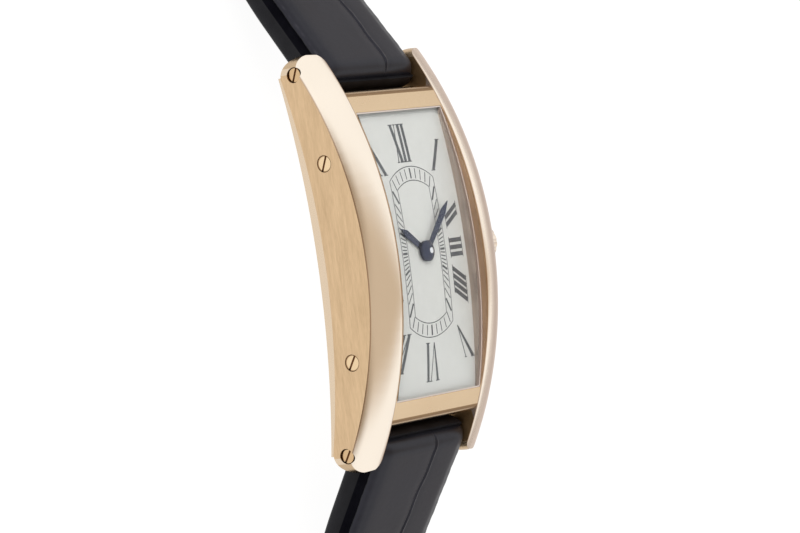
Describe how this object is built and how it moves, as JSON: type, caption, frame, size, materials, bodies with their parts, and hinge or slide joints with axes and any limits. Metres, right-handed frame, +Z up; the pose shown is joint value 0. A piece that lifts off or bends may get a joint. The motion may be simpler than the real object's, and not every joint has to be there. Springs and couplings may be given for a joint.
{
  "type": "rectangular wrist watch",
  "caption": "Rectangular dress watch with curved rails and a slotted-screw case, on a padded leather strap with a folding clasp, lying open.",
  "frame": {"origin": "middle of the flat lining of the 6 o'clock strap, where it lies on the table", "axes": "+X points to 3 o'clock, towards the crown; +Y points to 12 o'clock; +Z points up through the dial"},
  "size_m": [0.0255, 0.2048, 0.0191],
  "materials": {
    "gold": "satin-brushed flanks with polished rails and bevels",
    "gold_trim": "polished",
    "crystal": "clear, curved",
    "dial": "satin off-white",
    "blued": "blued, semi-gloss",
    "leather": "semi-gloss, large square scales, padded",
    "steel": "fine satin",
    "rhodium": "matte",
    "movement_brass": "satin",
    "jewel": "clear red, polished",
    "cabochon": "dark blue, polished",
    "seal": "matte",
    "crystal_seal": "matte",
    "holder": "matte"
  },
  "bodies": {
    "case": {"case_front": "gold", "case_back": "gold", "back_gasket": "seal", "crystal": "crystal", "crystal_gasket": "crystal_seal", "dial": "dial", "movement_holder": "holder", "crown_tube": "steel", "case_screws": "gold_trim", "bar_screws": "gold_trim", "strap_bar_12": "steel", "strap_bar_6": "steel", "main_plate": "rhodium", "barrel_bridge": "rhodium", "train_bridge": "rhodium", "pallet_bridge": "rhodium", "balance_cock": "rhodium", "jewels": "jewel", "movement_screws": "blued", "click": "steel", "hairspring": "blued"},
    "setting": {"setting_lever": "steel"},
    "crown_unit": {"crown": "gold", "cabochon": "cabochon", "stem": "steel", "winding_pinion": "steel"},
    "crown_wheel": {"crown_wheel": "steel"},
    "ratchet": {"ratchet_wheel": "steel", "barrel_arbor": "steel"},
    "barrel_drum": {"barrel": "movement_brass", "mainspring": "steel"},
    "center": {"center_wheel": "movement_brass"},
    "third": {"third_wheel": "movement_brass"},
    "fourth": {"fourth_wheel": "movement_brass"},
    "escape": {"escape_wheel": "steel"},
    "pallet": {"pallet_fork": "steel"},
    "balance": {"balance_wheel": "movement_brass"},
    "minute_train": {"cannon_pinion": "steel", "minute_hand": "blued", "hand_cap": "blued"},
    "motion": {"minute_wheel": "movement_brass"},
    "hour_train": {"hour_wheel": "movement_brass", "hour_hand": "blued"},
    "strap_upper": {"strap_12": "leather"},
    "strap_lower": {"strap_6": "leather", "clasp_bar_6": "steel"},
    "clasp_inner": {"clasp_inner_leaf": "gold_trim"},
    "clasp_middle": {"clasp_middle_leaf": "gold_trim", "hinge_pin_a": "steel", "hinge_pin_b": "steel"},
    "clasp_outer": {"clasp_cover": "gold", "clasp_bar_12": "steel"}
  },
  "joints": [
    {"name": "strap_12_pivot", "type": "hinge", "parent": "case", "child": "strap_upper", "pos_m": [0, 0.07664, 0.01196], "axis": [-1, 0, 0], "range_deg": [0, 55]},
    {"name": "strap_6_pivot", "type": "hinge", "parent": "case", "child": "strap_lower", "pos_m": [0, 0.03874, 0.01196], "axis": [1, 0, 0], "range_deg": [0, 55]},
    {"name": "clasp_pivot", "type": "hinge", "parent": "strap_lower", "child": "clasp_inner", "pos_m": [0, -0.01451, 0.00135], "axis": [-1, 0, 0], "range_deg": [0, 45]},
    {"name": "clasp_fold", "type": "hinge", "parent": "clasp_inner", "child": "clasp_middle", "pos_m": [0, -0.04101, 0.00186], "axis": [1, 0, 0], "range_deg": [0, 160]},
    {"name": "cover_fold", "type": "hinge", "parent": "clasp_middle", "child": "clasp_outer", "pos_m": [0, -0.01901, 0.00293], "axis": [1, 0, 0], "range_deg": [-160, 0]},
    {"name": "crown_pull", "type": "slide", "parent": "case", "child": "setting", "axis": [1, 0, 0], "range_m": [0, 0.0008]},
    {"name": "crown_turn", "type": "hinge", "parent": "setting", "child": "crown_unit", "pos_m": [0.012, 0.05769, 0.01493], "axis": [1, 0, 0], "continuous": true},
    {"name": "crown_wheel_turn", "type": "hinge", "parent": "case", "child": "crown_wheel", "pos_m": [0.0039, 0.05911, 0.01453], "axis": [0, 0, 1], "continuous": true},
    {"name": "ratchet_turn", "type": "hinge", "parent": "case", "child": "ratchet", "pos_m": [-0.00213, 0.06225, 0.01453], "axis": [0, 0, 1], "continuous": true},
    {"name": "hands_turn", "type": "hinge", "parent": "case", "child": "minute_train", "pos_m": [0, 0.05769, 0.01453], "axis": [0, 0, 1], "continuous": true},
    {"name": "motion_turn", "type": "hinge", "parent": "case", "child": "motion", "pos_m": [-0.00173, 0.05869, 0.01453], "axis": [0, 0, 1], "continuous": true},
    {"name": "hour_turn", "type": "hinge", "parent": "case", "child": "hour_train", "pos_m": [0, 0.05769, 0.01453], "axis": [0, 0, 1], "continuous": true},
    {"name": "fourth_turn", "type": "hinge", "parent": "case", "child": "fourth", "pos_m": [-0.00248, 0.05294, 0.01453], "axis": [0, 0, 1], "continuous": true},
    {"name": "third_turn", "type": "hinge", "parent": "case", "child": "third", "pos_m": [-0.00295, 0.05562, 0.01453], "axis": [0, 0, 1], "continuous": true},
    {"name": "center_turn", "type": "hinge", "parent": "case", "child": "center", "pos_m": [0, 0.05769, 0.01453], "axis": [0, 0, 1], "continuous": true},
    {"name": "barrel_turn", "type": "hinge", "parent": "case", "child": "barrel_drum", "pos_m": [-0.00213, 0.06225, 0.01453], "axis": [0, 0, 1], "continuous": true},
    {"name": "escape_turn", "type": "hinge", "parent": "case", "child": "escape", "pos_m": [-0.00019, 0.05188, 0.01453], "axis": [0, 0, 1], "continuous": true},
    {"name": "pallet_rock", "type": "hinge", "parent": "case", "child": "pallet", "pos_m": [0.00073, 0.05028, 0.01453], "axis": [0, 0, 1], "range_deg": [-4.5, 4.5]},
    {"name": "balance_swing", "type": "hinge", "parent": "case", "child": "balance", "pos_m": [0.00329, 0.04983, 0.01453], "axis": [0, 0, 1], "range_deg": [-135, 135]}
  ],
  "couplings": [
    {"joint": "cover_fold", "follows": "clasp_fold", "ratio": -1},
    {"joint": "crown_wheel_turn", "follows": "crown_turn", "ratio": 0.36842},
    {"joint": "ratchet_turn", "follows": "crown_turn", "ratio": -0.33333},
    {"joint": "motion_turn", "follows": "hands_turn", "ratio": -0.33333},
    {"joint": "hour_turn", "follows": "hands_turn", "ratio": 0.083333},
    {"joint": "third_turn", "follows": "fourth_turn", "ratio": -0.13333},
    {"joint": "center_turn", "follows": "fourth_turn", "ratio": 0.016667},
    {"joint": "barrel_turn", "follows": "fourth_turn", "ratio": -0.002778},
    {"joint": "escape_turn", "follows": "fourth_turn", "ratio": -8}
  ]
}
